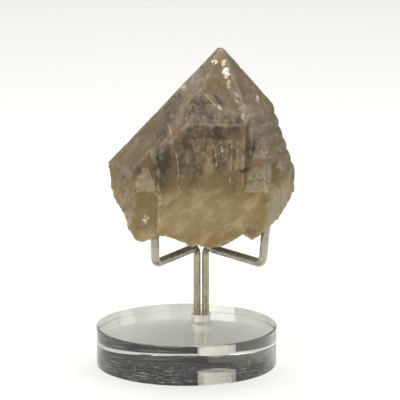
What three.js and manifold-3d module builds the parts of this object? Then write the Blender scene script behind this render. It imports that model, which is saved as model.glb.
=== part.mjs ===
// A smoky quartz crystal on a display stand. Millimetres, +Z up, +X to the right, -Y to the front.
// The origin is the centre of the disc's underside.
// The crystal is one solid: a broken-off termination in parallel growth. Its growths, each with the six
// prism faces and six rhombohedral faces of quartz, share one axis, and its underside is a rough break.
// The stand is a clear acrylic disc with two bent wires cemented into one seat. Each wire rises as a post,
// turns forward as an arm and ends in an upright prong, and a clear sleeve covers the arm and the prong.
import * as THREE from 'three';
import { mergeVertices } from 'three/addons/utils/BufferGeometryUtils.js';
import Module from 'manifold-3d';

const wasm = await Module();
wasm.setup();

const DEG = Math.PI / 180;
const CLEARANCE = 0.3; // between pieces that rest on or sit in one another

// --- Stand: driving dimensions ---------------------------------------------------------------------------
const DISC_RADIUS = 25;
const DISC_HEIGHT = 11;
const DISC_EDGE = 0.3; // polished break on both rims
const SEAT_RADIUS = 2.6; // the hole that both wires stand in
const SEAT_DEPTH = 8.6; // at its full width
const SEAT_POINT = 0.9; // the drill's cone below that
const WIRE_RADIUS = 1;
const SLEEVE_RADIUS = 1.2;
const SLEEVE_FIT = 0.05; // between a wire and its sleeve
const SLEEVE_OVERHANG = 0.5; // how far a sleeve reaches past the end of its wire
const WIRE_SPACING = 2.4; // centre to centre, so the posts stand just clear of each other
const POST_X = 4.12;
const POST_Y = 12.3;
const ARM_HEIGHT = 30.4;
const POST_BEND = 2.6; // from the corner to where the bend starts, at the top of the post
const PRONG_BEND = 2.6; // and at the foot of the prong
// Where each arm's corner lies, and the upper end of its prong.
const LEFT = { side: -1, foot: [-8.5, -9.5], tip: [-8.6, -9.5, 38.4] };
const RIGHT = { side: 1, foot: [20.9, -9.4], tip: [21.8, -9.4, 41.2] };

// --- Crystal: driving dimensions, in its own frame -------------------------------------------------------
const CRYSTAL_FOOT = [8.4, 2.5, 34.1]; // the point on its axis that its own heights are counted from
const CRYSTAL_LEAN = 1 * DEG; // the axis leans towards +X
const RHOMB_ANGLE = 38.2 * DEG; // between the rhombohedral faces of quartz and its axis
const SUMMIT = 55;
const WORN_TIP = 0.9; // how much the sharp summit has lost
// Crystals grown side by side on one axis. prism: how far the six prism faces lie from the axis, starting
// at the front face and going round towards +X. summit: where the six rhombohedral faces meet the axis.
const CORE = { prism: [15.5, 13.6, 12.6, 16, 22, 22], summit: SUMMIT };
const LEFT_WING = { prism: [11, 10, 10, 12.5, 26.2, 26.2], summit: SUMMIT };
// Each step down on the right side: a further growth that reaches out more to the right and less elsewhere.
const RIGHT_STEPS = 5;
const RIGHT_STEP = { prism: [-1.4, 1.04, 1.04, -1.1, -2.6, -2.6], summit: -2 };
// Small parallel crystals on the faces: axis position, summit and the distance of their prism faces.
const SATELLITES = [
  { at: [9.4, -8.4], summit: 33.5, reach: 5.6 },
  { at: [14.6, -5], summit: 28.5, reach: 4.6 },
  { at: [10.1, -9.3], summit: 25, reach: 6.2 },
  { at: [-19.4, -8.9], summit: 25, reach: 6.2 },
  { at: [-4.6, 11.4], summit: 38.3, reach: 5.6 },
];
// The underside's outline at the front face, from -X to +X.
const BREAK_EDGE = [
  [-50, 48], [-29.9, 22], [-29.3, 17], [-27.8, 12.8], [-25.5, 10.4], [-24, 6.1], [-22, 3.4], [-20.3, 2.9],
  [-17, 4], [-14, 4.6], [-9.8, 2.9], [-6.7, 1.7], [-5.1, 2.2], [-2.5, 1], [1.2, 2.1], [4, 3.6],
  [6.8, 5.3], [9.6, 3.7], [13.9, 7.3], [16.9, 10.2], [20.7, 16], [44, 40],
];
const BREAK_FRONT = -15.5; // the front face, where BREAK_EDGE holds
const BREAK_SLOPE = 7.6 * DEG; // from there the underside falls towards the back
// Shell-shaped hollows in the underside: centre and radius.
const HOLLOWS = [
  { centre: [-20, 9, -6], radius: 13.5 },
  { centre: [12, 8, -5.5], radius: 12.5 },
  { centre: [-4, -5, -9.5], radius: 11.5 },
];
// Each prong's tip stands in a small dent: its centre's height below the tip, and behind it.
const DENT_RADIUS = 3;
const DENT_BELOW_TIP = 0.8;
const DENT_BEHIND_TIP = 1.3;

// --- Solids ----------------------------------------------------------------------------------------------

// A closed three.js geometry as a manifold-3d solid.
function toSolid(geometry) {
  const bare = geometry.clone();
  bare.deleteAttribute('normal');
  bare.deleteAttribute('uv');
  const merged = mergeVertices(bare, 1e-4);
  return new wasm.Manifold(new wasm.Mesh({
    numProp: 3,
    vertProperties: new Float32Array(merged.attributes.position.array),
    triVerts: new Uint32Array(merged.index.array),
  }));
}

// A manifold-3d solid as a flat-shaded three.js geometry.
function toGeometry(solid) {
  const { numProp, numVert, vertProperties, triVerts } = solid.getMesh();
  const positions = new Float32Array(numVert * 3);
  for (let i = 0; i < numVert; i++) {
    positions.set(vertProperties.subarray(i * numProp, i * numProp + 3), i * 3);
  }
  const geometry = new THREE.BufferGeometry();
  geometry.setAttribute('position', new THREE.BufferAttribute(positions, 3));
  geometry.setIndex(new THREE.BufferAttribute(new Uint32Array(triVerts), 1));
  const flat = geometry.toNonIndexed();
  flat.computeVertexNormals();
  return flat;
}

function mesh(name, solid, material) {
  const made = new THREE.Mesh(toGeometry(solid), material);
  made.name = name;
  return made;
}

// --- Crystal ---------------------------------------------------------------------------------------------

// One quartz crystal about an upright axis through `at`.
function quartzSolid(prism, summit, at = [0, 0]) {
  const size = 140;
  let solid = toSolid(new THREE.BoxGeometry(size, size, size));
  prism.forEach((distance, face) => {
    const azimuth = face * 60 * DEG;
    const out = new THREE.Vector3(Math.sin(azimuth), -Math.cos(azimuth), 0);
    const rhomb = out.clone().multiplyScalar(Math.cos(RHOMB_ANGLE)).setZ(Math.sin(RHOMB_ANGLE));
    solid = solid.trimByPlane(out.negate().toArray(), -distance);
    solid = solid.trimByPlane(rhomb.clone().negate().toArray(), -rhomb.z * summit);
  });
  return solid.translate([...at, 0]);
}

// Everything below the underside: the outline at the front face, run to the back along the falling slope.
function belowBreak() {
  const reach = 90;
  const outline = new THREE.Shape();
  outline.moveTo(-reach, -reach);
  BREAK_EDGE.forEach(([x, z]) => outline.lineTo(x, z));
  outline.lineTo(reach, -reach);
  const geometry = new THREE.ExtrudeGeometry(outline, { depth: reach, bevelEnabled: false });
  geometry.translate(0, 0, -reach / 2);
  geometry.rotateX(Math.PI / 2 - BREAK_SLOPE);
  geometry.translate(0, 0, Math.tan(BREAK_SLOPE) * BREAK_FRONT);
  return toSolid(geometry);
}

function hollow({ centre, radius }) {
  return toSolid(new THREE.IcosahedronGeometry(radius, 3)).translate(centre);
}

function tipDent({ tip: [x, y, z] }) {
  const [footX, footY, footZ] = CRYSTAL_FOOT;
  const centre = [x - footX, y + DENT_BEHIND_TIP - footY, z - DENT_BELOW_TIP - footZ];
  return hollow({ centre, radius: DENT_RADIUS });
}

function makeCrystal(material) {
  const rightSteps = Array.from({ length: RIGHT_STEPS }, (_, i) => ({
    prism: CORE.prism.map((distance, face) => distance + (i + 1) * RIGHT_STEP.prism[face]),
    summit: CORE.summit + (i + 1) * RIGHT_STEP.summit,
  }));
  const grown = [
    ...[CORE, LEFT_WING, ...rightSteps].map(({ prism, summit }) => quartzSolid(prism, summit)),
    ...SATELLITES.map(({ at, summit, reach }) => quartzSolid(Array(6).fill(reach), summit, at)),
  ];
  const whole = grown.reduce((sum, next) => sum.add(next)).trimByPlane([0, 0, -1], WORN_TIP - SUMMIT);
  const snapped = whole.subtract(belowBreak());
  const dents = [...HOLLOWS.map(hollow), ...[LEFT, RIGHT].map(tipDent)];
  const broken = dents.reduce((rest, dent) => rest.subtract(dent), snapped);
  const crystal = mesh('crystal', broken, material);
  crystal.position.set(...CRYSTAL_FOOT);
  crystal.rotation.y = CRYSTAL_LEAN;
  return crystal;
}

// --- Stand -----------------------------------------------------------------------------------------------

const seatFloor = DISC_HEIGHT - SEAT_DEPTH;

// A profile of [radius, height] points, from the bottom of the axis to its top, turned about the Z axis.
function turned(profile, segments) {
  const geometry = new THREE.LatheGeometry(profile.map(([r, z]) => new THREE.Vector2(r, z)), segments);
  geometry.rotateX(Math.PI / 2);
  return toSolid(geometry);
}

function cylinder(radius, bottom, top, segments = 32) {
  return turned([[0, bottom], [radius, bottom], [radius, top], [0, top]], segments);
}

function makeDisc(material) {
  const body = turned([
    [0, 0], [DISC_RADIUS - DISC_EDGE, 0], [DISC_RADIUS, DISC_EDGE],
    [DISC_RADIUS, DISC_HEIGHT - DISC_EDGE], [DISC_RADIUS - DISC_EDGE, DISC_HEIGHT], [0, DISC_HEIGHT],
  ], 72);
  return mesh('base_disc', body.subtract(seatHole(0, DISC_HEIGHT + 1)), material);
}

// The seat's space from its pointed bottom to the given top, shrunk by `gap`.
function seatHole(gap, top) {
  const radius = SEAT_RADIUS - gap;
  const profile = [[0, seatFloor - SEAT_POINT + gap], [radius, seatFloor + gap], [radius, top], [0, top]];
  return turned(profile, 32).translate([POST_X, POST_Y, 0]);
}

// The cement that fills the seat round the posts.
function makeCement(material) {
  const gap = 0.1;
  let plug = seatHole(gap, DISC_HEIGHT - gap);
  for (const { side } of [LEFT, RIGHT]) {
    const hole = cylinder(WIRE_RADIUS + gap, seatFloor + WIRE_RADIUS, DISC_HEIGHT + 1);
    plug = plug.subtract(hole.translate([postX(side), POST_Y, 0]));
  }
  return mesh('seat_cement', plug, material);
}

function postX(side) {
  return POST_X + (side * WIRE_SPACING) / 2;
}

// A centre line through the given corners, rounded from bends[i] before corner i + 1 to as far after it.
function bentLine(corners, bends) {
  const path = new THREE.CurvePath();
  const points = corners.map((corner) => new THREE.Vector3(...corner));
  let from = points[0];
  bends.forEach((bend, i) => {
    const corner = points[i + 1];
    const into = corner.clone().lerp(points[i], bend / corner.distanceTo(points[i]));
    const outOf = corner.clone().lerp(points[i + 2], bend / corner.distanceTo(points[i + 2]));
    path.add(new THREE.LineCurve3(from, into));
    path.add(new THREE.QuadraticBezierCurve3(into, corner, outOf));
    from = outOf;
  });
  path.add(new THREE.LineCurve3(from, points.at(-1)));
  return path;
}

// The round bar of the given radius along one wire's centre line, from the seat to the prong's end.
function bar({ side, foot, tip }, radius) {
  const path = bentLine([
    [postX(side), POST_Y, seatFloor + WIRE_RADIUS + CLEARANCE],
    [postX(side), POST_Y, ARM_HEIGHT],
    [...foot, ARM_HEIGHT],
    tip,
  ], [POST_BEND, PRONG_BEND]);
  const section = new THREE.Shape().absarc(0, 0, radius, 0, 2 * Math.PI);
  const stepLength = 1.1;
  return toSolid(new THREE.ExtrudeGeometry(section, {
    extrudePath: path,
    steps: Math.round(path.getLength() / stepLength),
    curveSegments: 6,
  }));
}

function makeWire(name, arm, material) {
  const end = arm.tip[2] - SLEEVE_OVERHANG;
  return mesh(name, bar(arm, WIRE_RADIUS).trimByPlane([0, 0, -1], -end), material);
}

// The sleeve starts where the post's bend ends and covers the rest of the wire.
function makeSleeve(name, arm, material) {
  const tube = bar(arm, SLEEVE_RADIUS).subtract(bar(arm, WIRE_RADIUS + SLEEVE_FIT));
  return mesh(name, tube.trimByPlane([0, -1, 0], -(POST_Y - POST_BEND)), material);
}

// --- Materials and assembly ------------------------------------------------------------------------------

const quartz = new THREE.MeshStandardMaterial({ color: 0x9a8664, roughness: 0.25, metalness: 0 });
const acrylic = new THREE.MeshStandardMaterial({ color: 0xe6e9e6, roughness: 0.05, metalness: 0 });
const cement = new THREE.MeshStandardMaterial({ color: 0xece8dc, roughness: 0.6, metalness: 0 });
const steel = new THREE.MeshStandardMaterial({ color: 0xb9b4a4, roughness: 0.25, metalness: 1 });
const vinyl = new THREE.MeshStandardMaterial({ color: 0xdcdad0, roughness: 0.15, metalness: 0 });

const specimen = new THREE.Group();
specimen.add(
  makeCrystal(quartz),
  makeDisc(acrylic),
  makeCement(cement),
  makeWire('left_wire', LEFT, steel),
  makeWire('right_wire', RIGHT, steel),
  makeSleeve('left_sleeve', LEFT, vinyl),
  makeSleeve('right_sleeve', RIGHT, vinyl),
);

export default specimen;
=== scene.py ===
"""A smoky quartz crystal on its stand: the looks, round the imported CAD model. Metres, +Z up."""

import math

import bmesh
import bpy
import numpy as np
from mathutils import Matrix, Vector, noise


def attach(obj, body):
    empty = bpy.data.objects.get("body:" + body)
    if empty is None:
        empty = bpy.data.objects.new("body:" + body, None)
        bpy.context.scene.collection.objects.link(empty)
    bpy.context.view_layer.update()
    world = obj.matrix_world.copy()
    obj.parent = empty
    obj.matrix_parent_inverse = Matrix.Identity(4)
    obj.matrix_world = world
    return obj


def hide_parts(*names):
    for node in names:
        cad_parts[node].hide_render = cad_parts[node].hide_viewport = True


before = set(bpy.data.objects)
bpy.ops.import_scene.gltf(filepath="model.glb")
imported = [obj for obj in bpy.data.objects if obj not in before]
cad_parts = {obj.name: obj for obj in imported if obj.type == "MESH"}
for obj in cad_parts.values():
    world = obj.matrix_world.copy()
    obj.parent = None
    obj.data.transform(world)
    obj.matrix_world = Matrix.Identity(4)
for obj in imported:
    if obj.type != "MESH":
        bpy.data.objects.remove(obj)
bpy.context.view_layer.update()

MM = 0.001
SCENE = bpy.context.scene

# --- Camera, floor and light -----------------------------------------------------------------------------

VIEW_PITCH = math.radians(11.6)
VIEW_DISTANCE = 0.83
VIEW_WIDTH = 0.1111  # what the view spans at that distance
SENSOR = 36.0
AIM = Vector((3.75, 6.95, 44.85)) * MM


def make_camera():
    camera = bpy.data.objects.new("camera", bpy.data.cameras.new("camera"))
    camera.data.sensor_width = SENSOR
    camera.data.lens = SENSOR * VIEW_DISTANCE / VIEW_WIDTH
    back = Vector((0, -math.cos(VIEW_PITCH), math.sin(VIEW_PITCH)))
    camera.location = AIM + back * VIEW_DISTANCE
    camera.rotation_euler = (math.pi / 2 - VIEW_PITCH, 0, 0)
    camera.data.clip_start = 0.01
    SCENE.collection.objects.link(camera)
    SCENE.camera = camera


def area_light(name, place, size, power, tint=(1, 1, 1), target=AIM):
    light = bpy.data.lights.new(name, "AREA")
    light.shape = "RECTANGLE"
    light.size, light.size_y = size
    light.energy = power
    light.color = tint
    lamp = bpy.data.objects.new(name, light)
    lamp.location = place
    lamp.rotation_euler = (Vector(target) - Vector(place)).to_track_quat("-Z", "Y").to_euler()
    SCENE.collection.objects.link(lamp)


def stage_piece(name, points, faces, colour, roughness):
    mesh = bpy.data.meshes.new(name)
    mesh.from_pydata(points, [], faces)
    nodes = Nodes(name)
    nodes.set(Base_Color=(*colour, 1), Roughness=roughness)
    mesh.materials.append(nodes.material)
    piece = bpy.data.objects.new(name, mesh)
    SCENE.collection.objects.link(piece)
    return piece


FLOOR_DROP = 0.1 * MM  # the air under the disc, without which its underside would be no clear surface
FLOOR_REACH = 2.5
FLOOR_COLOUR = (0.62, 0.62, 0.61)
FLOOR_ROUGHNESS = 0.6
# The black card's outline from the side, as (y, z), and its span in x, in millimetres: a low step and an
# upright back.
CARD_OUTLINE = [(26, 0.2), (26, 14), (50, 14), (50, 112)]
CARD_SPAN = (-36, 38)
CARD_COLOUR = (0.004, 0.004, 0.004)
CARD_ROUGHNESS = 0.8
SKY_COLOUR = (1, 0.99, 0.96, 1)
SKY_STRENGTH = 0.4
# Each lamp's name, place, size and power in watts. Large lamps mirror softly in the clear disc.
LAMPS = [
    ("key", (-0.35, -0.45, 0.55), (0.9, 0.9), 6.8, {"tint": (1, 0.97, 0.93)}),
    ("fill", (0.5, -0.3, 0.3), (0.9, 0.9), 2.6, {}),
    ("top", (0.05, 0.15, 0.6), (0.5, 0.3), 3.0, {}),
    ("backdrop", (0, 0.75, 0.6), (1.4, 0.5), 5.0, {"target": (0, 0.85, 0)}),
]


def make_stage():
    corners = [(-1, -1), (1, -1), (1, 1), (-1, 1)]
    floor = [(x * FLOOR_REACH, y * FLOOR_REACH, -FLOOR_DROP) for x, y in corners]
    stage_piece("floor", floor, [(0, 1, 2, 3)], FLOOR_COLOUR, FLOOR_ROUGHNESS)
    # The black card stands behind the object and shows only through its clear pieces: the disc's dark rim
    # and the quartz's depth of tone come from something dark behind them.
    points = [Vector((x, y, z)) * MM for y, z in CARD_OUTLINE for x in CARD_SPAN]
    faces = [(2 * i, 2 * i + 1, 2 * i + 3, 2 * i + 2) for i in range(len(CARD_OUTLINE) - 1)]
    card = stage_piece("dark_card", points, faces, CARD_COLOUR, CARD_ROUGHNESS)
    card.visible_camera = False
    card.visible_diffuse = False
    card.visible_glossy = False
    card.visible_shadow = False
    world = bpy.data.worlds.new("studio")
    world.use_nodes = True
    world.node_tree.nodes["Background"].inputs["Color"].default_value = SKY_COLOUR
    world.node_tree.nodes["Background"].inputs["Strength"].default_value = SKY_STRENGTH
    SCENE.world = world
    for name, place, size, power, options in LAMPS:
        area_light(name, place, size, power, **options)
    SCENE.view_settings.view_transform = "Standard"


# --- Node helpers ----------------------------------------------------------------------------------------


class Nodes:
    """A material's node tree, with one call per node and its inputs given by name."""

    def __init__(self, name):
        self.material = bpy.data.materials.new(name)
        self.material.use_nodes = True
        self.tree = self.material.node_tree
        self.shader = self.tree.nodes["Principled BSDF"]

    def add(self, kind, settings=None, **inputs):
        node = self.tree.nodes.new(kind)
        for key, value in (settings or {}).items():
            setattr(node, key, value)
        for key, value in inputs.items():
            self.feed(node.inputs[key.replace("_", " ")], value)
        return node

    def feed(self, socket, value):
        if isinstance(value, bpy.types.NodeSocket):
            self.tree.links.new(value, socket)
        else:
            socket.default_value = value

    def place(self, stretch=(1, 1, 1)):
        """The object's own coordinates in millimetres, stretched along each axis."""
        coordinates = self.add("ShaderNodeTexCoord").outputs["Object"]
        scale = [1 / (MM * s) for s in stretch]
        mapping = self.add("ShaderNodeMapping", Vector=coordinates, Scale=scale)
        return mapping.outputs["Vector"]

    def noise(self, place, size, detail=4.0, roughness=0.5, distortion=0.0):
        """Noise from 0 to 1 whose largest features are `size` across."""
        texture = self.add(
            "ShaderNodeTexNoise", Vector=place, Scale=1 / size, Detail=detail,
            Roughness=roughness, Distortion=distortion,
        )
        return texture.outputs["Fac"]

    def curve(self, value, low, high, to_low=0.0, to_high=1.0, smooth=True):
        """The value carried from low..high to to_low..to_high, and held at the ends of that range."""
        node = self.add(
            "ShaderNodeMapRange",
            {"interpolation_type": "SMOOTHSTEP" if smooth else "LINEAR"},
            Value=value, From_Min=low, From_Max=high, To_Min=to_low, To_Max=to_high,
        )
        return node.outputs["Result"]

    def math(self, operation, a, b=0.0, c=0.0):
        node = self.add("ShaderNodeMath", {"operation": operation})
        for socket, value in zip(node.inputs, (a, b, c)):
            self.feed(socket, value)
        return node.outputs["Value"]

    def axes(self, place):
        return self.add("ShaderNodeSeparateXYZ", Vector=place).outputs

    def attribute(self, name):
        return self.add("ShaderNodeAttribute", {"attribute_name": name}).outputs["Fac"]

    def mix(self, share, a, b):
        """Colour `a` where the share is 0, and `b` where it is 1."""
        node = self.add("ShaderNodeMix", {"data_type": "RGBA"})
        self.feed(node.inputs[0], share)
        self.feed(node.inputs[6], a)
        self.feed(node.inputs[7], b)
        return node.outputs[2]

    def blob(self, place, centre, radii, edge=0.5):
        """1 inside the ellipsoid of the given centre and radii in millimetres, fading to 0 outside it."""
        offset = self.add("ShaderNodeVectorMath", {"operation": "SUBTRACT"})
        self.feed(offset.inputs[0], place)
        offset.inputs[1].default_value = centre
        scaled = self.add("ShaderNodeVectorMath", {"operation": "DIVIDE"})
        self.feed(scaled.inputs[0], offset.outputs["Vector"])
        scaled.inputs[1].default_value = radii
        length = self.add("ShaderNodeVectorMath", {"operation": "LENGTH"})
        self.feed(length.inputs[0], scaled.outputs["Vector"])
        return self.curve(length.outputs["Value"], 1 - edge, 1 + edge, 1.0, 0.0)

    def warp(self, place, size, reach):
        """The place moved about by noise, by up to about half of `reach` millimetres each way."""
        texture = self.add("ShaderNodeTexNoise", Vector=place, Scale=1 / size, Detail=3.0)
        centred = self.add("ShaderNodeVectorMath", {"operation": "SUBTRACT"})
        self.feed(centred.inputs[0], texture.outputs["Color"])
        centred.inputs[1].default_value = (0.5, 0.5, 0.5)
        moved = self.add("ShaderNodeVectorMath", {"operation": "MULTIPLY_ADD"})
        self.feed(moved.inputs[0], centred.outputs["Vector"])
        moved.inputs[1].default_value = (reach, reach, reach)
        self.feed(moved.inputs[2], place)
        return moved.outputs["Vector"]

    def bump(self, height, depth):
        """A bump whose heights of 0 to 1 stand `depth` millimetres apart."""
        node = self.add("ShaderNodeBump", Height=height, Distance=depth * MM, Strength=1.0)
        self.tree.links.new(node.outputs["Normal"], self.shader.inputs["Normal"])

    def set(self, **inputs):
        for key, value in inputs.items():
            self.feed(self.shader.inputs[key.replace("_", " ")], value)


# --- Quartz ----------------------------------------------------------------------------------------------

# Clouds inside the crystal: the centre and radii of each in millimetres, and how strong it is.
SMOKE = [
    ((2.9, -13, 67.2), (2.8, 5, 2.2), 1.0),
    ((8.6, -13, 67.3), (2.3, 5, 2.0), 1.0),
    ((-6.1, -12, 57.8), (2.3, 6, 6.0), 1.0),
    ((-6.2, -13, 54.2), (2.2, 5, 2.0), 0.9),
    ((3.2, -9, 72.6), (2.6, 6, 4.4), 1.0),
    ((9.0, -7, 77.5), (3.2, 6, 2.6), 0.4),
    ((8.6, -8, 75.2), (2.3, 6, 1.9), 0.9),
    ((7.2, -10, 72.2), (2.0, 5, 1.7), 0.85),
    ((1.6, -12, 60.5), (5.0, 6, 8.0), 0.6),
    ((9.5, -13, 62.0), (4.0, 6, 4.5), 0.5),
    ((2.9, -13, 54.8), (4.2, 6, 2.6), 0.4),
    ((13.0, -12, 70.0), (2.6, 6, 3.4), 0.75),
    ((4.5, -10, 70.5), (7.0, 7, 6.5), 0.5),
    ((17.1, -11, 62.4), (1.3, 5, 3.2), 0.8),
    ((16.2, -12, 57.2), (2.2, 4, 0.9), 0.95),
    ((-2.3, -2, 74.2), (2.2, 5, 2.4), 0.6),
    ((-4.6, -2, 71.3), (2.6, 5, 3.2), 0.75),
    ((-6.3, -6, 66.2), (1.9, 5, 3.2), 0.6),
    ((-13.7, -8, 56.7), (1.5, 4, 1.3), 0.6),
    ((-17.0, -5, 53.6), (1.0, 4, 0.9), 0.6),
    ((-19.0, -2, 55.2), (0.8, 4, 1.3), 0.6),
    ((12, 14, 62), (6, 8, 9), 0.7),
    ((-6, 14, 55), (5, 8, 8), 0.7),
]
STAIN = [
    ((21.0, -11, 58.8), (3.6, 5, 1.2), 0.6),
    ((23.8, -7, 57.6), (1.8, 4, 1.8), 0.65),
    ((26.4, -6, 55.4), (1.3, 4, 2.0), 0.85),
    ((9.2, -5, 79.4), (2.8, 6, 3.4), 0.5),
    ((8.9, 0, 86.0), (4.0, 8, 3.5), 0.45),
    ((-4.0, -13, 56.5), (1.4, 4, 4.5), 0.7),
    ((13.5, -12, 67.8), (2.4, 5, 2.6), 0.5),
    ((8, 15, 70), (4, 6, 5), 0.6),
]
FROST = [
    ((-5, -3, 74), (9, 12, 9), 0.85),
    ((-13, -5, 60), (7, 9, 7), 0.7),
    ((18.5, -4, 70), (4.5, 9, 8), 0.8),
    ((19.8, -9, 62.6), (3.2, 5, 3.0), 0.9),
    ((12.6, -6, 77.5), (1.0, 4, 3.6), 1.0),
    ((14.6, -9, 73.0), (0.9, 4, 3.2), 1.0),
    ((15.3, -13, 59.2), (1.3, 4, 1.0), 0.9),
    ((6, 16, 66), (12, 8, 12), 0.7),
]
BAND_TILT = math.radians(35)
PITTED = [((20.4, -11.5, 54.2), (3.2, 4, 2.3), 1.0)]
FIBROUS = [
    ((5.5, -12, 62.5), (9.0, 8, 6.5), 1.0),
    ((6.5, -9, 71.5), (6.0, 8, 5.0), 0.8),
    ((8, 15, 64), (10, 8, 12), 0.7),
]
PALE = [
    ((25.4, -7, 47.0), (3.2, 9, 5.8), 0.6),
    ((20.6, -11.0, 54.4), (3.8, 5, 2.8), 0.8),
    ((23.8, -8, 42.5), (2.4, 9, 3.6), 0.7),
    ((4, -13, 45), (15, 6, 5.5), 0.3),
    ((-11.0, -8.5, 43.6), (1.1, 2, 0.9), 1.0),
    ((-1, -13, 41), (5, 5, 2.4), 0.35),
    ((14, -13, 41.6), (5, 5, 1.1), 0.5),
]
SPARKLES = [
    ((7.8, -1, 84.9), (0.8, 3, 0.6), 0.9),
    ((10.4, -1, 84.4), (0.6, 3, 1.0), 0.8),
    ((10.9, -3, 82.4), (0.8, 3, 1.3), 1.0),
    ((11.6, -5, 79.3), (0.5, 3, 1.2), 0.35),
    ((13.8, -7, 76.4), (0.6, 3, 1.6), 0.3),
    ((15.5, -11, 71.6), (0.5, 3, 1.0), 0.3),
    ((-11.0, -12.6, 43.4), (0.9, 3, 1.1), 0.6),
    ((19.3, -2, 74.7), (0.5, 3, 0.8), 0.5),
    ((21.9, -9, 61.7), (0.5, 3, 0.5), 0.5),
    ((25.6, -2, 60.6), (0.5, 3, 0.5), 0.5),
    ((-0.8, 1, 77.6), (1.0, 4, 0.6), 0.4),
    ((-15, 2, 66.5), (1.2, 6, 1.0), 0.7),
    ((9.0, -9, 73.7), (0.5, 3, 0.7), 0.5),
    ((9.6, -13, 62.6), (0.5, 3, 1.5), 0.45),
]
# Healed cracks seen edge-on: the ends as (x, z), and how far the middle is bowed towards +X, in millimetres.
CRACKS = [
    ((-4.9, 68.6), (-2.2, 55.0), 0.9),
    ((-2.2, 55.0), (-1.6, 50.6), -0.3),
    ((-9.1, 54.0), (-7.0, 48.8), 0.9),
    ((-7.0, 48.8), (-8.0, 39.6), 0.3),
    ((-9.2, 51.6), (-7.0, 49.2), 0.1),
    ((3.7, 78.4), (8.6, 73.0), 0.3),
    ((12.3, 66.4), (11.7, 53.5), 0.1),
    ((13.9, 65.6), (13.5, 57.2), 0.1),
    ((6.4, 66.0), (8.0, 58.0), 0.6),
    ((9.0, 41.0), (16.0, 44.6), 0.4),
]
FRONT = -4  # only what lies in front of this y shows those cracks and that growth
# The clear growth at the lower left: its span in x and in z.
BLOCK = ((-14.6, -7.4), (39.9, 51.2))
BLOCK_LEAN = 0.1  # how far its left side moves towards +X for each millimetre it rises
BLOCK_MIDDLE = 48  # the height at which that side passes the span's first x
BLOCK_EDGE = 0.3

# The quartz's colours, in linear light.
HONEY = (0.225, 0.150, 0.047, 1)
BROWN = (0.125, 0.082, 0.036, 1)
CLOUD_DARK = (0.085, 0.056, 0.026, 1)
CLOUD_PALE = (0.34, 0.25, 0.115, 1)
GRAIN_DARK = (0.07, 0.046, 0.020, 1)
GRAIN_PALE = (0.44, 0.34, 0.19, 1)
VEIL_DARK = (0.024, 0.016, 0.007, 1)
VEIL_PALE = (0.37, 0.275, 0.140, 1)
BAND_MILKY = (0.39, 0.295, 0.150, 1)
BAND_DARK = (0.13, 0.086, 0.030, 1)
# Painted sheen on the upward faces, and frost on a few patches: grey, pale and dark.
SHEEN_AND_FROST_GREY = (0.200, 0.163, 0.118, 1)
SHEEN_AND_FROST_PALE = (0.33, 0.27, 0.20, 1)
SHEEN_AND_FROST_DARK = (0.095, 0.08, 0.062, 1)
SMOKE_BLACK = (0.022, 0.014, 0.006, 1)
IRON = (0.150, 0.082, 0.034, 1)
CREAM = (0.37, 0.31, 0.19, 1)
PIT_DARK = (0.06, 0.052, 0.038, 1)
GROWTH_OLIVE = (0.165, 0.122, 0.044, 1)
CRACK_PALE = (0.52, 0.44, 0.26, 1)
GLINT = (0.95, 0.90, 0.76, 1)
# Painted highlight along the sharp edges.
EDGE_HIGHLIGHT_PALE = (0.48, 0.41, 0.29, 1)


def times(nodes, *factors):
    product = factors[0]
    for factor in factors[1:]:
        product = nodes.math("MULTIPLY", product, factor)
    return product


def clouds(nodes, place, table):
    """How strongly a point lies in any of the table's clouds, from 0 to 1."""
    total = 0.0
    for centre, radii, strength in table:
        total = nodes.math("MAXIMUM", total, times(nodes, nodes.blob(place, centre, radii), strength))
    return total


def cracks(nodes, place, width):
    """1 on the bowed lines of CRACKS."""
    x, y, z = nodes.axes(place)
    total = 0.0
    for (x0, z0), (x1, z1), bow in CRACKS:
        part = nodes.curve(z, z0, z1, smooth=False)
        bulge = times(nodes, part, nodes.math("SUBTRACT", 1.0, part), 4 * bow)
        line = nodes.math("ADD", nodes.math("MULTIPLY_ADD", part, x1 - x0, x0), bulge)
        distance = nodes.math("ABSOLUTE", nodes.math("SUBTRACT", x, line))
        inside = nodes.curve(nodes.math("ABSOLUTE", nodes.math("SUBTRACT", part, 0.5)), 0.4999, 0.47)
        total = nodes.math("MAXIMUM", total, times(nodes, nodes.curve(distance, width, 0.0), inside))
    return times(nodes, total, nodes.curve(y, FRONT, FRONT - 1))


def block(nodes, place):
    """1 inside the clear growth at the lower left of the front, with hard edges."""
    x, y, z = nodes.axes(place)
    (west, east), (low, high) = BLOCK
    lean = nodes.math("MULTIPLY_ADD", z, -BLOCK_LEAN, x)
    side = west - BLOCK_LEAN * BLOCK_MIDDLE
    return times(
        nodes,
        nodes.curve(lean, side - BLOCK_EDGE / 2, side + BLOCK_EDGE / 2),
        nodes.curve(x, east, east - BLOCK_EDGE),
        nodes.curve(z, low - 1.0, low + 1.0),
        nodes.curve(z, high, high - BLOCK_EDGE),
        nodes.curve(y, FRONT, FRONT - 1),
    )


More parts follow.
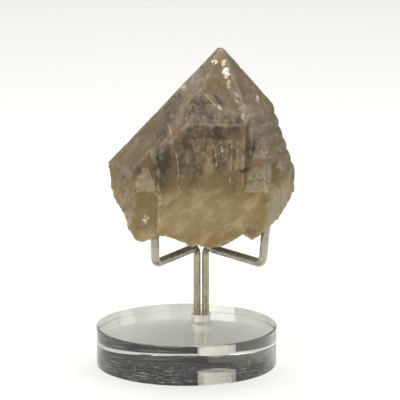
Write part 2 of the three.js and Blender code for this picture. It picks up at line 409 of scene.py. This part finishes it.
def quartz_material():
    nodes = Nodes("quartz")
    place = nodes.place()
    height = nodes.axes(place)[2]
    loose = nodes.warp(place, 3.0, 3.0)
    upright = nodes.warp(nodes.place((1, 1, 3.5)), 4.0, 3.0)
    rhomb = nodes.attribute("rhomb")
    edge = nodes.attribute("edge")
    broken = nodes.attribute("broken")

    # The body: brown above, honey below, clouded throughout.
    colour = nodes.mix(nodes.curve(height, 44, 62), HONEY, BROWN)
    cloud = nodes.noise(loose, 7.0, 8.0, 0.66)
    grain = nodes.noise(loose, 1.6, 6.0, 0.70)
    colour = nodes.mix(nodes.curve(cloud, 0.48, 0.32, 0, 0.8), colour, CLOUD_DARK)
    colour = nodes.mix(nodes.curve(cloud, 0.52, 0.68, 0, 0.65), colour, CLOUD_PALE)
    colour = nodes.mix(nodes.curve(grain, 0.46, 0.28, 0, 0.5), colour, GRAIN_DARK)
    colour = nodes.mix(nodes.curve(grain, 0.55, 0.74, 0, 0.5), colour, GRAIN_PALE)

    # Pale fibrous veils on near-black, painted as colour on the middle of the front and of the back.
    fibre = nodes.noise(upright, 3.0, 8.0, 0.72)
    veil = nodes.math("ADD", nodes.math("MULTIPLY", fibre, 0.62), nodes.math("MULTIPLY", grain, 0.38))
    veils = nodes.mix(nodes.curve(veil, 0.36, 0.66), VEIL_DARK, VEIL_PALE)
    fibrous = clouds(nodes, loose, FIBROUS)
    colour = nodes.mix(times(nodes, fibrous, 0.75), colour, veils)

    # Soft milky bands that rise to the right through the lower part.
    tilted = nodes.add("ShaderNodeMapping", Vector=place, Rotation=(0, BAND_TILT, 0)).outputs["Vector"]
    stretched = nodes.add("ShaderNodeMapping", Vector=tilted, Scale=(0.55, 1, 1)).outputs["Vector"]
    band = nodes.noise(nodes.warp(stretched, 3.0, 3.5), 4.0, 7.0, 0.66)
    below = nodes.curve(height, 57, 47)
    colour = nodes.mix(times(nodes, below, nodes.curve(band, 0.48, 0.66, 0, 0.7)), colour, BAND_MILKY)
    colour = nodes.mix(times(nodes, below, nodes.curve(band, 0.47, 0.32, 0, 0.65)), colour, BAND_DARK)

    # Painted sheen and frost: the upward sloping faces are painted grey, as if they mirrored the light above
    # them, and a grey frost lies on a few patches of the others.
    patchy = nodes.noise(loose, 4.0, 6.0, 0.65)
    frost_and_sheen = nodes.math("MAXIMUM", times(nodes, rhomb, 0.5), clouds(nodes, loose, FROST))
    frost_and_sheen = times(nodes, frost_and_sheen, nodes.curve(patchy, 0.36, 0.56, 0.45, 1.0))
    colour = nodes.mix(times(nodes, frost_and_sheen, 0.75), colour, SHEEN_AND_FROST_GREY)
    colour = nodes.mix(times(nodes, frost_and_sheen, nodes.curve(patchy, 0.54, 0.66, 0, 0.6)), colour, SHEEN_AND_FROST_PALE)
    colour = nodes.mix(times(nodes, frost_and_sheen, nodes.curve(grain, 0.48, 0.34, 0, 0.5)), colour, SHEEN_AND_FROST_DARK)

    # Smoke, iron stain, the pale corners, a pitted patch and the olive growth.
    smoke = times(nodes, clouds(nodes, loose, SMOKE), nodes.curve(veil, 0.66, 0.36, 0.1, 1.0))
    colour = nodes.mix(smoke, colour, SMOKE_BLACK)
    stain = times(nodes, clouds(nodes, loose, STAIN), nodes.curve(grain, 0.35, 0.6, 0.55, 1.0))
    colour = nodes.mix(times(nodes, stain, 0.75), colour, IRON)
    colour = nodes.mix(times(nodes, clouds(nodes, loose, PALE), 0.8), colour, CREAM)
    pits = nodes.curve(nodes.noise(place, 0.7, 3.0, 0.6), 0.56, 0.42)
    pitted = times(nodes, clouds(nodes, loose, PITTED), pits)
    colour = nodes.mix(times(nodes, pitted, 0.7), colour, PIT_DARK)
    growth = block(nodes, nodes.warp(place, 2.0, 0.4))
    tinted = times(nodes, growth, nodes.curve(patchy, 0.40, 0.60, 0.8, 0.3))
    colour = nodes.mix(tinted, colour, GROWTH_OLIVE)

    # Healed cracks and the glints of small ones that lie square to the light.
    lines = cracks(nodes, nodes.warp(place, 2.5, 0.9), 0.3)
    lines = times(nodes, lines, nodes.curve(nodes.noise(place, 1.6, 3.0), 0.40, 0.60, 0.05, 0.6))
    colour = nodes.mix(lines, colour, CRACK_PALE)
    sparkling = clouds(nodes, nodes.warp(place, 0.8, 1.2), SPARKLES)
    glints = times(nodes, sparkling, nodes.curve(grain, 0.42, 0.56))
    colour = nodes.mix(glints, colour, GLINT)

    # Painted highlight: the sharp outer edges are paler here and there, as a thin lit rim.
    wear_and_highlight = times(nodes, edge, nodes.curve(nodes.noise(place, 2.2, 4.0), 0.42, 0.62, 0.05, 0.4))
    colour = nodes.mix(wear_and_highlight, colour, EDGE_HIGHLIGHT_PALE)

    # The smoke lets the most light through, and glints and cracks the least.
    clear = nodes.curve(smoke, 0.0, 1.0, 0.26, 0.6)
    clear = times(nodes, clear, nodes.curve(nodes.math("MAXIMUM", glints, lines), 0.0, 1.0, 1.0, 0.3))
    rough = nodes.curve(nodes.noise(loose, 2.5, 4.0), 0.35, 0.7, 0.04, 0.16)
    rough = nodes.math("ADD", rough, times(nodes, nodes.math("MAXIMUM", broken, frost_and_sheen), 0.16))
    nodes.bump(nodes.noise(loose, 2.0, 4.0, 0.5), 0.05)
    nodes.set(Base_Color=colour, Roughness=rough, IOR=1.54, Transmission_Weight=clear, Specular_IOR_Level=0.3)
    return nodes.material


CRYSTAL_FOOT = Vector((8.4, 2.5, 34.1)) * MM  # a point of the crystal's axis, near its lower end
CRYSTAL_LEAN = math.radians(1)
AXIS = Vector((math.sin(CRYSTAL_LEAN), 0, math.cos(CRYSTAL_LEAN)))


def neighbour_mean(values, ends, counts):
    total = np.zeros_like(values)
    np.add.at(total, ends[:, 0], values[ends[:, 1]])
    np.add.at(total, ends[:, 1], values[ends[:, 0]])
    return total / counts.reshape([-1] + [1] * (values.ndim - 1))


OCTREE_DEPTH = 8
CELL = 0.34  # the fine mesh's spacing in millimetres
FINE_CREASE = math.radians(24)
SHARP_BEND = 0.03  # how far a point stands out from its neighbours, in millimetres, to count fully as an edge
# What kind of face it is, from the cosine between the way it faces and the crystal's axis.
BROKEN_FROM, BROKEN_FULL = 0.05, 0.25  # facing down
PRISM_UNTIL = 0.25  # facing sideways
RHOMB_FROM, RHOMB_FULL = 0.35, 0.5  # facing up
WORN_BELOW = 62  # the height below which the edges are chipped more, over WORN_FADE millimetres
WORN_FADE = 8
# How high each kind of relief stands, in millimetres.
SWELL = 0.10
GROWTH_STEP = 0.012
ROUGH_BREAK = 0.45
FLAKY_BREAK = 0.5
CHIP = 0.35
WORN_CHIP = 0.45


def fine_copy(source, cell):
    """The node's own solid as an even mesh of small faces that keeps its sharp edges."""
    mesh = source.data.copy()
    piece = bpy.data.objects.new("quartz_crystal", mesh)
    SCENE.collection.objects.link(piece)
    weld = bmesh.new()
    weld.from_mesh(mesh)
    bmesh.ops.remove_doubles(weld, verts=weld.verts, dist=0.001 * MM)
    weld.to_mesh(mesh)
    weld.free()
    remesh = piece.modifiers.new("fine", "REMESH")
    remesh.mode = "SHARP"
    remesh.use_remove_disconnected = False
    remesh.octree_depth = OCTREE_DEPTH
    remesh.scale = max(piece.dimensions) / MM / cell / 2**OCTREE_DEPTH
    graph = bpy.context.evaluated_depsgraph_get()
    piece.data = bpy.data.meshes.new_from_object(piece.evaluated_get(graph))
    piece.modifiers.clear()
    return piece


def make_crystal():
    """The CAD crystal's own solid, remeshed finely and given the relief of a natural surface."""
    crystal = fine_copy(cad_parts["crystal"], CELL)
    fine = crystal.data
    count = len(fine.vertices)
    points = np.empty(count * 3)
    fine.vertices.foreach_get("co", points)
    points = points.reshape(-1, 3) / MM
    normals = np.empty(count * 3)
    fine.vertices.foreach_get("normal", normals)
    normals = normals.reshape(-1, 3)
    ends = np.empty(len(fine.edges) * 2, dtype=np.int64)
    fine.edges.foreach_get("vertices", ends)
    ends = ends.reshape(-1, 2)
    counts = np.bincount(ends.ravel(), minlength=count).astype(float)

    # How sharply the surface turns outwards, spread over its neighbours.
    bend = -((neighbour_mean(points, ends, counts) - points) * normals).sum(axis=1)
    for _ in range(2):
        bend = neighbour_mean(bend, ends, counts)
    edge = np.clip(bend / SHARP_BEND, 0, 1)
    along = normals @ np.array(AXIS)
    broken = np.clip((-along - BROKEN_FROM) / (BROKEN_FULL - BROKEN_FROM), 0, 1)
    for _ in range(4):
        broken = neighbour_mean(broken, ends, counts)
    prism = np.clip(1 - np.abs(along) / PRISM_UNTIL, 0, 1)
    rhomb = np.clip((along - RHOMB_FROM) / (RHOMB_FULL - RHOMB_FROM), 0, 1)

    relief = np.empty(count)
    foot = np.array(CRYSTAL_FOOT) / MM
    heights = (points - foot) @ np.array(AXIS)
    for i, (p, h) in enumerate(zip(points, heights)):
        at = Vector(p)
        swell = noise.noise(at * 0.11)
        step = noise.noise(Vector((p[0] * 0.05, p[1] * 0.05, h * 0.9)))
        step += 0.5 * noise.noise(Vector((p[0] * 0.08, p[1] * 0.08, h * 2.6)))
        rough = noise.fractal(at * 0.33, 0.7, 2.1, 4)
        flaky = abs(noise.noise(at * 0.75)) - 0.25
        chip = max(0.0, noise.fractal(at * 0.55, 0.9, 2.0, 3) - 0.1)
        wear_and_highlight = min(1.0, max(0.0, (WORN_BELOW - p[2]) / WORN_FADE))
        relief[i] = (
            SWELL * swell
            + prism[i] * GROWTH_STEP * step
            + broken[i] * (ROUGH_BREAK * rough + FLAKY_BREAK * flaky)
            - edge[i] * (CHIP + WORN_CHIP * wear_and_highlight) * chip
        )
    points += normals * relief[:, None]
    fine.vertices.foreach_set("co", (points * MM).ravel())
    for name, values in (("edge", edge), ("broken", broken), ("rhomb", rhomb)):
        fine.attributes.new(name, "FLOAT", "POINT").data.foreach_set("value", values.astype(np.float32))
    fine.polygons.foreach_set("use_smooth", [True] * len(fine.polygons))
    fine.set_sharp_from_angle(angle=FINE_CREASE)
    fine.materials.clear()
    fine.materials.append(quartz_material())
    fine.update()
    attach(crystal, "root")
    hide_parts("crystal")


# --- Stand -----------------------------------------------------------------------------------------------

# All sizes and places are in millimetres.
CREASE = math.radians(30)  # faces that meet at more than this keep a sharp edge
DISC_RADIUS = 25
DISC_HEIGHT = 11
SEAT_RADIUS = 2.6
SEAT_FLOOR = 2.4
SEAT_POINT = 0.9  # how far the drill's point went below the seat's floor
SEAT_FLARE = 0.25  # the break round the seat's mouth
PIN = 0.01  # the radius of the middle ring of a turned body, which is as good as a point
CLEARANCE = 0.1  # the air round the cement, towards the disc and towards the posts
THROUGH = 1  # how far a cutter runs past the face it comes out of
POST_X = 4.12
POST_Y = 12.3
WIRE_SPACING = 2.4
WIRE_RADIUS = 1
SLEEVE_RADIUS = 1.2
SLEEVE_WALL = 0.15
SLEEVE_BREAK = 0.04  # the bevel round the outside of each sleeve's end
BORE_BREAK = 0.03  # and the one round its bore
OVERHANG = 0.5  # how far each sleeve runs past the end of its wire
WIRE_BREAK = 0.25  # the bevel round each wire's end
WIRE_LIFT = 0.3  # the wire's end stands this far above the bottom of its hole in the cement
DISC_BREAK = 0.3
CEMENT_BREAK = 0.2
HOLE_BREAK = 0.1
SUPPORT_RING = 0.05  # how far past a rounded rim the ring lies that keeps the flat beside it flat
ARM_HEIGHT = 30.4
BEND = 2.6
# Each arm's side, the foot of its prong as (x, y), and the prong's tip.
ARMS = {
    "left": (-1, (-8.5, -9.5), (-8.6, -9.5, 38.4)),
    "right": (1, (20.9, -9.4), (21.8, -9.4, 41.2)),
}


def new_piece(name, vertices, faces, material, slot, *nodes_replaced):
    mesh = bpy.data.meshes.new(name)
    mesh.from_pydata([Vector(v) * MM for v in vertices], [], faces)
    mesh.polygons.foreach_set("use_smooth", [True] * len(mesh.polygons))
    mesh.set_sharp_from_angle(angle=CREASE)
    mesh.materials.append(material)
    piece = bpy.data.objects.new(name, mesh)
    SCENE.collection.objects.link(piece)
    if slot:
        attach(piece, "root")
        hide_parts(*nodes_replaced)
    return piece


def rings_to_faces(rings, around, closed):
    """Quads between neighbouring rings of points. Closed joins the last ring to the first."""
    faces = []
    for i in range(rings if closed else rings - 1):
        j = (i + 1) % rings
        for k in range(around):
            n = (k + 1) % around
            faces.append((i * around + k, i * around + n, j * around + n, j * around + k))
    if not closed:
        faces.append(tuple(reversed(range(around))))
        faces.append(tuple((rings - 1) * around + k for k in range(around)))
    return faces


def turned(profile, centre=(0, 0), around=160):
    """The points and faces of a closed body with the given (radius, height) outline."""
    vertices = []
    for radius, height in profile:
        for k in range(around):
            angle = 2 * math.pi * k / around
            x = centre[0] + radius * math.cos(angle)
            y = centre[1] + radius * math.sin(angle)
            vertices.append((x, y, height))
    return vertices, rings_to_faces(len(profile), around, False)


def cut(piece, cutter):
    """Takes the cutter's shape, and its material where it cut, out of the piece."""
    boolean = piece.modifiers.new("cut", "BOOLEAN")
    boolean.operation = "DIFFERENCE"
    boolean.solver = "EXACT"
    boolean.material_mode = "TRANSFER"
    boolean.object = cutter
    graph = bpy.context.evaluated_depsgraph_get()
    result = bpy.data.meshes.new_from_object(piece.evaluated_get(graph))
    piece.modifiers.clear()
    result.set_sharp_from_angle(angle=CREASE)
    piece.data = result
    bpy.data.objects.remove(cutter)


def rounded(radius, low, high, soften, steps=5):
    """A cylinder's outline with its two rims rounded off. A narrow ring beside each keeps the flats flat."""
    flat = soften + SUPPORT_RING
    profile = [(PIN, low), (radius - flat, low)]
    for s in range(steps + 1):
        angle = math.pi / 2 * s / steps
        profile.append((radius - soften + soften * math.sin(angle), low + soften - soften * math.cos(angle)))
    profile += [(radius, low + flat), (radius, high - flat)]
    for s in range(steps + 1):
        angle = math.pi / 2 * s / steps
        profile.append((radius - soften + soften * math.cos(angle), high - soften + soften * math.sin(angle)))
    return profile + [(radius - flat, high), (PIN, high)]


def acrylic_material():
    nodes = Nodes("acrylic")
    place = nodes.place()
    height = nodes.axes(place)[2]
    wall = times(nodes, nodes.curve(height, 0.1, 0.6), nodes.curve(height, 7.0, 4.5, 0.12, 1.0))
    lines = nodes.noise(nodes.place((5, 5, 0.22)), 1.2, 5.0, 0.75)
    scratches = times(nodes, wall, nodes.curve(lines, 0.52, 0.67))
    dust = nodes.curve(nodes.noise(place, 0.5, 2.0), 0.64, 0.72)
    specks = times(nodes, nodes.curve(wall, 0, 1, 0.25, 1.0), dust)
    # The grey tint is painted shade: the disc casts no shadow, and the tint dims the lit floor seen through
    # it to the shade under the disc.
    tint = nodes.mix(nodes.noise(place, 14.0, 2.0), (0.70, 0.71, 0.66, 1), (0.73, 0.735, 0.685, 1))
    # Painted reflection: near-black streaks on the lower side wall stand for the dark surroundings seen in
    # the rim.
    dark = times(nodes, wall, nodes.curve(lines, 0.6, 0.35, 0.45, 0.9))
    tint = nodes.mix(dark, tint, (0.12, 0.12, 0.125, 1))
    marks = nodes.math("MAXIMUM", scratches, specks)
    tint = nodes.mix(times(nodes, marks, 0.8), tint, (0.75, 0.75, 0.74, 1))
    rough = nodes.curve(nodes.noise(place, 9.0, 3.0), 0.35, 0.7, 0.0, 0.03)
    clear = nodes.curve(marks, 0, 1, 1.0, 0.62)
    nodes.bump(nodes.noise(place, 6.0, 2.0), 0.002)
    nodes.set(Base_Color=tint, Roughness=rough, IOR=1.49, Transmission_Weight=clear)
    return nodes.material


def frosted_material():
    nodes = Nodes("acrylic_drilled")
    rings = nodes.noise(nodes.place((6, 6, 0.3)), 1.0, 4.0, 0.6)
    tint = nodes.mix(rings, (0.86, 0.86, 0.82, 1), (0.96, 0.96, 0.93, 1))
    nodes.bump(rings, 0.05)
    nodes.set(Base_Color=tint, Roughness=0.45, IOR=1.49, Transmission_Weight=0.7)
    return nodes.material


def cement_material():
    nodes = Nodes("cement")
    cloud = nodes.noise(nodes.place(), 1.6, 5.0, 0.6)
    tint = nodes.mix(cloud, (0.62, 0.59, 0.50, 1), (0.82, 0.79, 0.71, 1))
    nodes.bump(cloud, 0.08)
    nodes.set(Base_Color=tint, Roughness=nodes.curve(cloud, 0.3, 0.7, 0.35, 0.6), IOR=1.5)
    return nodes.material


def wire_material():
    nodes = Nodes("satin_wire")
    drawn = nodes.noise(nodes.place((0.35, 0.35, 8)), 0.5, 4.0, 0.65)
    patches = nodes.noise(nodes.place(), 3.5, 4.0, 0.6)
    tint = nodes.mix(nodes.curve(patches, 0.35, 0.7), (0.33, 0.30, 0.205, 1), (0.50, 0.46, 0.34, 1))
    tint = nodes.mix(nodes.curve(drawn, 0.3, 0.75, 0, 0.35), tint, (0.20, 0.17, 0.115, 1))
    nodes.bump(drawn, 0.004)
    nodes.set(Base_Color=tint, Metallic=1.0, Roughness=nodes.curve(patches, 0.3, 0.7, 0.2, 0.34))
    return nodes.material


def sleeve_material():
    nodes = Nodes("clear_sleeve")
    cloud = nodes.noise(nodes.place(), 2.2, 4.0, 0.6)
    tint = nodes.mix(cloud, (0.90, 0.89, 0.84, 1), (0.98, 0.975, 0.95, 1))
    nodes.bump(nodes.noise(nodes.place((1, 1, 2)), 1.4, 3.0), 0.02)
    rough = nodes.curve(cloud, 0.3, 0.7, 0.03, 0.12)
    nodes.set(Base_Color=tint, Roughness=rough, IOR=1.5, Transmission_Weight=0.92)
    return nodes.material


def make_disc():
    acrylic = acrylic_material()
    vertices, faces = turned(rounded(DISC_RADIUS, 0, DISC_HEIGHT, DISC_BREAK))
    disc = new_piece("acrylic_base", vertices, faces, acrylic, "acrylic", "base_disc")
    disc.visible_shadow = False  # clear acrylic lets the lamps through to the floor under it
    mouth = SEAT_RADIUS + SEAT_FLARE
    hole = [
        (PIN, SEAT_FLOOR - SEAT_POINT),
        (SEAT_RADIUS, SEAT_FLOOR),
        (SEAT_RADIUS, DISC_HEIGHT - 0.2),
        (mouth, DISC_HEIGHT + 0.05),
        (mouth, DISC_HEIGHT + THROUGH),
        (PIN, DISC_HEIGHT + THROUGH),
    ]
    vertices, faces = turned(hole, (POST_X, POST_Y), 96)
    cut(disc, new_piece("hole", vertices, faces, frosted_material(), None))


def make_cement():
    outline = rounded(SEAT_RADIUS - CLEARANCE, SEAT_FLOOR + CLEARANCE, DISC_HEIGHT - CLEARANCE, CEMENT_BREAK)
    vertices, faces = turned(outline, (POST_X, POST_Y), 96)
    cement = cement_material()
    plug = new_piece("seat_cement_plug", vertices, faces, cement, "cement", "seat_cement")
    for side in (-1, 1):
        centre = (POST_X + side * WIRE_SPACING / 2, POST_Y)
        hole = rounded(WIRE_RADIUS + CLEARANCE, SEAT_FLOOR + WIRE_RADIUS, DISC_HEIGHT + THROUGH, HOLE_BREAK)
        vertices, faces = turned(hole, centre, 64)
        cut(plug, new_piece("post_hole", vertices, faces, cement, None))


def bent_line(corners, bend, spacing=0.25):
    """Points along the corners' line, each inner corner rounded from `bend` before it to `bend` after it."""
    corners = [Vector(c) for c in corners]
    points = [corners[0]]
    for before, corner, after in zip(corners, corners[1:], corners[2:]):
        start = corner + (before - corner).normalized() * bend
        end = corner + (after - corner).normalized() * bend
        for s in range(17):
            t = s / 16
            points.append(start * (1 - t) ** 2 + corner * 2 * t * (1 - t) + end * t * t)
    points.append(corners[-1])
    filled = [points[0]]
    for a, b in zip(points, points[1:]):
        parts = max(1, round((b - a).length / (spacing * 4)))
        filled += [a.lerp(b, n / parts) for n in range(1, parts + 1)]
    return filled


def swept(line, stations, closed, around=40):
    """A tube's points and faces. Each station is the index of the line's point that a ring stands on,
    how far it is pushed on past that point, and its radius. `closed` joins the last ring to the first."""
    ahead = line[1:] + [line[-1]]
    behind = [line[0]] + line[:-1]
    tangents = [(b - a).normalized() for a, b in zip(behind, ahead)]
    across = [Vector((1, 0, 0))]
    for previous, tangent in zip(tangents, tangents[1:]):
        across.append((previous.rotation_difference(tangent) @ across[-1]).normalized())
    vertices = []
    for index, push, radius in stations:
        tangent, side = tangents[index], across[index]
        up = tangent.cross(side)
        centre = line[index] + tangent * push
        for k in range(around):
            angle = 2 * math.pi * k / around
            vertices.append(centre + (side * math.cos(angle) + up * math.sin(angle)) * radius)
    return vertices, rings_to_faces(len(stations), around, closed)


def wire_line(side, foot, tip):
    """The middle of one wire, from the foot of its post to the tip of its prong."""
    post = POST_X + side * WIRE_SPACING / 2
    start = (post, POST_Y, SEAT_FLOOR + WIRE_RADIUS + WIRE_LIFT)
    return bent_line([start, (post, POST_Y, ARM_HEIGHT), (*foot, ARM_HEIGHT), tip], BEND)


def make_wires():
    metal, vinyl = wire_material(), sleeve_material()
    for name, (side, foot, tip) in ARMS.items():
        line = wire_line(side, foot, tip)
        last = len(line) - 1
        body = [(0, 0, WIRE_RADIUS - WIRE_BREAK), (0, WIRE_BREAK, WIRE_RADIUS)]
        body += [(i, 0, WIRE_RADIUS) for i in range(1, last - 1)]
        body += [(last, -OVERHANG - WIRE_BREAK, WIRE_RADIUS), (last, -OVERHANG, WIRE_RADIUS - WIRE_BREAK)]
        vertices, faces = swept(line, body, False)
        new_piece(f"{name}_bent_wire", vertices, faces, metal, "wire", f"{name}_wire")

        start = next(i for i, p in enumerate(line) if p.y <= POST_Y - BEND - 0.01)
        bore = SLEEVE_RADIUS - SLEEVE_WALL
        outside = [(i, 0, SLEEVE_RADIUS) for i in range(start, last)]
        outside += [(last, -SLEEVE_BREAK, SLEEVE_RADIUS), (last, 0, SLEEVE_RADIUS - SLEEVE_BREAK)]
        inside = [(last, 0, bore + BORE_BREAK)]
        inside += [(i, 0, bore) for i in range(last - 1, start - 1, -1)]
        vertices, faces = swept(line, outside + inside, True)
        new_piece(f"{name}_clear_sleeve", vertices, faces, vinyl, "sleeve", f"{name}_sleeve")


# --- Everything ------------------------------------------------------------------------------------------

make_camera()
make_stage()
make_crystal()
make_disc()
make_cement()
make_wires()
